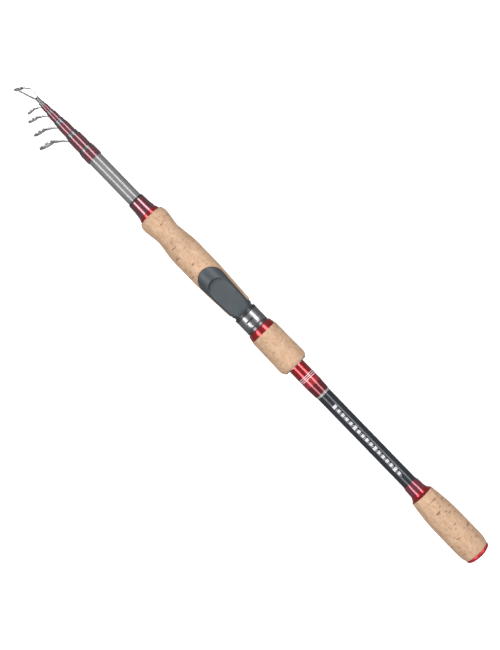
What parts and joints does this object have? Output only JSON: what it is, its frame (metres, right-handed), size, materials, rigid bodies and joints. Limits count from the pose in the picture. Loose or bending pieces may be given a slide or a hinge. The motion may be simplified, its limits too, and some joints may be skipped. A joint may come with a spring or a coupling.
{
  "type": "telescopic fishing rod",
  "caption": "Telescopic fishing rod, closed, with cork grips, a reel seat with sliding hood and screw nut, and wire line guides on nested tubes.",
  "frame": {"origin": "centre of the flat bed that the reel foot rests on", "axes": "+X along the rod toward the tip, +Z square out of the reel-foot bed, guides toward +Y"},
  "size_m": [0.5276, 0.0397, 0.0256],
  "materials": {
    "blank_grey": "gloss clear coat over dark grey carbon",
    "blank_black": "gloss",
    "wrap_maroon": "gloss resin over dark red thread",
    "ring_grey": "satin anodised",
    "red_metal": "gloss anodised",
    "cork": "sanded cork",
    "seat_black": "satin",
    "dark_plastic": "satin",
    "steel": "brushed",
    "guide_steel": "smoked plating",
    "ceramic": "polished ceramic",
    "white_band": "gloss",
    "resin": "clear gloss",
    "rubber": "matte",
    "thread_metal": "machined"
  },
  "bodies": {
    "butt_section": {"butt_blank": "blank_black", "mouth_ring": "ring_grey", "mouth_wrap": "wrap_maroon", "trim_ring": "dark_plastic", "fore_check": "red_metal", "fore_check_ring": "red_metal", "fore_grip": "cork", "seat_body": "seat_black", "rear_tube": "red_metal", "trim_bands": "white_band", "rear_wrap": "wrap_maroon", "rear_wrap_resin": "resin", "butt_wrap": "wrap_maroon", "butt_check": "red_metal", "butt_grip": "cork", "butt_insert": "thread_metal"},
    "hood": {"hood_liner": "dark_plastic", "moving_hood": "steel", "hood_ring": "dark_plastic"},
    "nut": {"nut_ring": "red_metal", "nut_core": "dark_plastic", "nut_cork": "cork", "nut_rear_ring": "ring_grey"},
    "bumper": {"cap_bumper": "rubber"},
    "cap": {"butt_cap": "red_metal", "cap_screw": "thread_metal", "cap_seal": "rubber"},
    "section_1": {"section_1_blank": "blank_grey", "section_1_ring": "ring_grey", "section_1_wrap": "wrap_maroon", "guide_1_frame": "guide_steel", "guide_1_ring": "ceramic"},
    "section_2": {"section_2_blank": "blank_grey", "section_2_ring": "ring_grey", "section_2_wrap": "wrap_maroon", "guide_2_frame": "guide_steel", "guide_2_ring": "ceramic"},
    "section_3": {"section_3_blank": "blank_grey", "section_3_ring": "ring_grey", "section_3_wrap": "wrap_maroon", "guide_3_frame": "guide_steel", "guide_3_ring": "ceramic"},
    "section_4": {"section_4_blank": "blank_grey", "section_4_ring": "ring_grey", "section_4_wrap": "wrap_maroon", "guide_4_frame": "guide_steel", "guide_4_ring": "ceramic"},
    "tip_section": {"tip_blank": "blank_grey", "tip_top_frame": "guide_steel", "tip_top_ring": "ceramic"}
  },
  "joints": [
    {"name": "hood_slide", "type": "slide", "parent": "butt_section", "child": "hood", "axis": [1, 0, 0], "range_m": [-0.018, 0.002]},
    {"name": "nut_turn", "type": "hinge", "parent": "hood", "child": "nut", "pos_m": [-0.055, 0, -0.0076], "axis": [1, 0, 0], "range_deg": [-3240, 360]},
    {"name": "cap_slide", "type": "slide", "parent": "butt_section", "child": "bumper", "axis": [-1, 0, 0], "range_m": [0, 0.012]},
    {"name": "cap_turn", "type": "hinge", "parent": "bumper", "child": "cap", "pos_m": [-0.285, 0, -0.0076], "axis": [-1, 0, 0], "range_deg": [0, 2880]},
    {"name": "section_1_slide", "type": "slide", "parent": "butt_section", "child": "section_1", "axis": [1, 0, 0], "range_m": [0, 0.314]},
    {"name": "section_2_slide", "type": "slide", "parent": "section_1", "child": "section_2", "axis": [1, 0, 0], "range_m": [0, 0.314]},
    {"name": "section_3_slide", "type": "slide", "parent": "section_2", "child": "section_3", "axis": [1, 0, 0], "range_m": [0, 0.314]},
    {"name": "section_4_slide", "type": "slide", "parent": "section_3", "child": "section_4", "axis": [1, 0, 0], "range_m": [0, 0.314]},
    {"name": "tip_slide", "type": "slide", "parent": "section_4", "child": "tip_section", "axis": [1, 0, 0], "range_m": [0, 0.314]}
  ],
  "couplings": [
    {"joint": "nut_turn", "follows": "hood_slide", "rad_per_m": 3141.6},
    {"joint": "cap_turn", "follows": "cap_slide", "rad_per_m": 4188.7}
  ]
}
